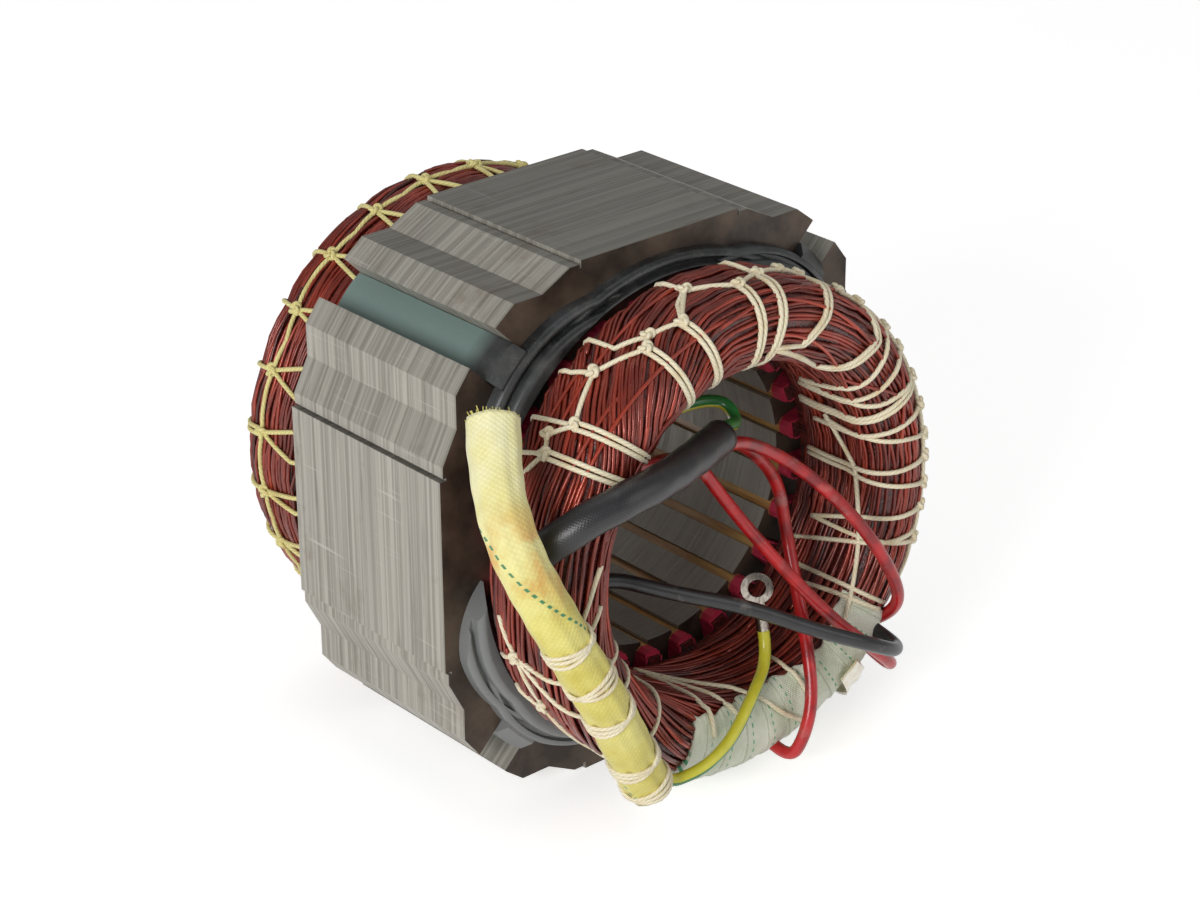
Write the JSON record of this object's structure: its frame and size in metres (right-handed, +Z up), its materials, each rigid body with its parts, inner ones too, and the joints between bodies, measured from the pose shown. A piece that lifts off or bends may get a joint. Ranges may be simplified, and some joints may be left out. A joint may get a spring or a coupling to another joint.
{
  "type": "stator lamination stack",
  "caption": "Wound generator stator: a pressed stack of slotted steel laminations with laced copper winding heads, a guide ring and sleeved leads.",
  "frame": {"origin": "middle of the stack on the bore axis, half way between its two end faces", "axes": "+Y along the bore axis towards the rear head, the leads leave at -Y; +Z up from the flat that the stack rests on; +X to the right seen from the lead end"},
  "size_m": [0.1743, 0.1628, 0.16],
  "materials": {
    "lamination": "sheared sheet edges, in part varnished brown",
    "ring": "moulded, dull",
    "liner": "insulating film, dull",
    "wedge": "amber film",
    "enamel": "copper-red enamelled wire",
    "lacing": "woven tape, varnished",
    "tape": "woven glass tape with a tracer",
    "sleeve_yellow": "braided glass sleeve",
    "sleeve_black": "braided sleeve",
    "lead_red": "lead insulation",
    "lead_black": "lead insulation",
    "lead_earth": "lead insulation, yellow with a green stripe",
    "terminal": "tinned copper"
  },
  "bodies": {
    "root": {"lamination_stack": "lamination", "guide_ring": "ring", "slot_liners": "liner", "slot_wedges": "wedge", "main_winding": "enamel", "auxiliary_winding": "enamel", "front_lacing": "lacing", "rear_lacing": "lacing", "head_tape": "tape", "sleeve_ties": "lacing", "yellow_sleeve": "sleeve_yellow", "black_sleeve": "sleeve_black", "red_lead_1": "lead_red", "red_lead_2": "lead_red", "red_lead_3": "lead_red", "green_lead": "lead_earth", "black_lead": "lead_black", "earth_lead": "lead_earth", "ring_terminal": "terminal"}
  },
  "joints": []
}
